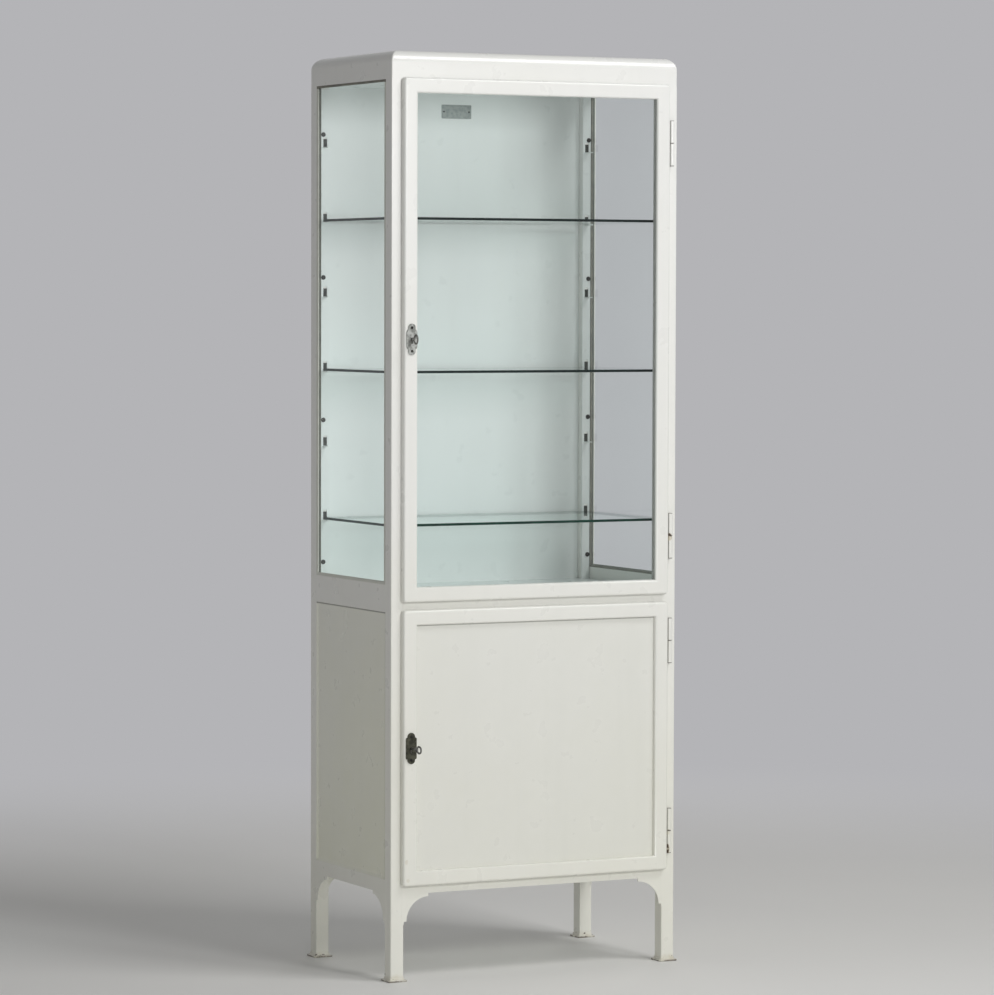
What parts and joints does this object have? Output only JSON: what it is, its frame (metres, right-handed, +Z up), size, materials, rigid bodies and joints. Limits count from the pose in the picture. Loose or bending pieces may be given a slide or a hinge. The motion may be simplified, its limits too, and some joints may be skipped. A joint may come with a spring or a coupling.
{
  "type": "glass door medical cabinet",
  "caption": "Tall white steel instrument cabinet on legs, with a locking glass door and glass shelves above and a locking steel door below.",
  "frame": {"origin": "on the floor, under the middle of the whole box: the cabinet is centred in X, and in Y the middle lies between the front of the keys and the rear of the foot plates", "axes": "+Z up, +X to the right as seen from the front, +Y to the back, so the doors face -Y"},
  "size_m": [0.622, 0.4284, 1.75],
  "materials": {
    "enamel": "semi-gloss white enamel, worn and a little yellowed at the edges",
    "clear_glass": "clear drawn window glass",
    "shelf_glass": "thick clear glass with green ground edges",
    "nickel": "dulled nickel plate",
    "dark_bronze": "plating worn down to dark brass",
    "bare_steel": "greased bare steel"
  },
  "bodies": {
    "cabinet": {"front_left_post": "enamel", "front_right_post": "enamel", "rear_left_post": "enamel", "rear_right_post": "enamel", "front_left_foot": "enamel", "front_right_foot": "enamel", "rear_left_foot": "enamel", "rear_right_foot": "enamel", "front_apron": "enamel", "rear_apron": "enamel", "left_apron": "enamel", "right_apron": "enamel", "front_mid_rail": "enamel", "left_mid_rail": "enamel", "right_mid_rail": "enamel", "top_cap": "enamel", "ceiling_panel": "enamel", "back_panel": "enamel", "left_lower_panel": "enamel", "right_lower_panel": "enamel", "bottom_floor": "enamel", "middle_floor": "enamel", "left_glazing_channel": "enamel", "right_glazing_channel": "enamel", "front_left_shelf_strip": "enamel", "front_right_shelf_strip": "enamel", "rear_left_shelf_strip": "enamel", "rear_right_shelf_strip": "enamel", "upper_top_hinge_frame_knuckle": "enamel", "upper_bottom_hinge_frame_knuckle": "enamel", "lower_top_hinge_frame_knuckle": "enamel", "lower_bottom_hinge_frame_knuckle": "enamel", "left_side_glass": "clear_glass", "right_side_glass": "clear_glass", "lower_glass_shelf": "shelf_glass", "middle_glass_shelf": "shelf_glass", "upper_glass_shelf": "shelf_glass", "blank_plate": "nickel", "upper_top_hinge_pin": "bare_steel", "upper_bottom_hinge_pin": "bare_steel", "lower_top_hinge_pin": "bare_steel", "lower_bottom_hinge_pin": "bare_steel"},
    "upper_door": {"upper_door_frame": "enamel", "upper_door_glass": "clear_glass", "upper_glass_bead": "enamel", "upper_escutcheon": "nickel", "upper_lock_case": "bare_steel", "upper_top_hinge_door_knuckle": "enamel", "upper_bottom_hinge_door_knuckle": "enamel"},
    "lower_door": {"lower_door_frame": "enamel", "lower_door_panel": "enamel", "lower_escutcheon": "dark_bronze", "lower_lock_case": "bare_steel", "lower_top_hinge_door_knuckle": "enamel", "lower_bottom_hinge_door_knuckle": "enamel"},
    "upper_key": {"upper_key": "nickel"},
    "lower_key": {"lower_key": "nickel"},
    "upper_bolt": {"upper_bolt": "bare_steel"},
    "lower_bolt": {"lower_bolt": "bare_steel"}
  },
  "joints": [
    {"name": "upper_door_hinge", "type": "hinge", "parent": "cabinet", "child": "upper_door", "pos_m": [0.2895, -0.16225, 1.2075], "axis": [0, 0, 1], "range_deg": [0, 175]},
    {"name": "upper_key_turn", "type": "hinge", "parent": "upper_door", "child": "upper_key", "pos_m": [-0.269, -0.16825, 1.21], "axis": [0, 1, 0], "range_deg": [0, 90]},
    {"name": "upper_bolt_slide", "type": "slide", "parent": "upper_door", "child": "upper_bolt", "axis": [-1, 0, 0], "range_m": [0, 0.006]},
    {"name": "lower_door_hinge", "type": "hinge", "parent": "cabinet", "child": "lower_door", "pos_m": [0.2895, -0.16225, 0.441], "axis": [0, 0, 1], "range_deg": [0, 175]},
    {"name": "lower_key_turn", "type": "hinge", "parent": "lower_door", "child": "lower_key", "pos_m": [-0.269, -0.16825, 0.442], "axis": [0, 1, 0], "range_deg": [0, 90]},
    {"name": "lower_bolt_slide", "type": "slide", "parent": "lower_door", "child": "lower_bolt", "axis": [-1, 0, 0], "range_m": [0, 0.006]}
  ],
  "couplings": [
    {"joint": "upper_key_turn", "follows": "upper_bolt_slide", "rad_per_m": 261.8},
    {"joint": "lower_key_turn", "follows": "lower_bolt_slide", "rad_per_m": 261.8}
  ]
}
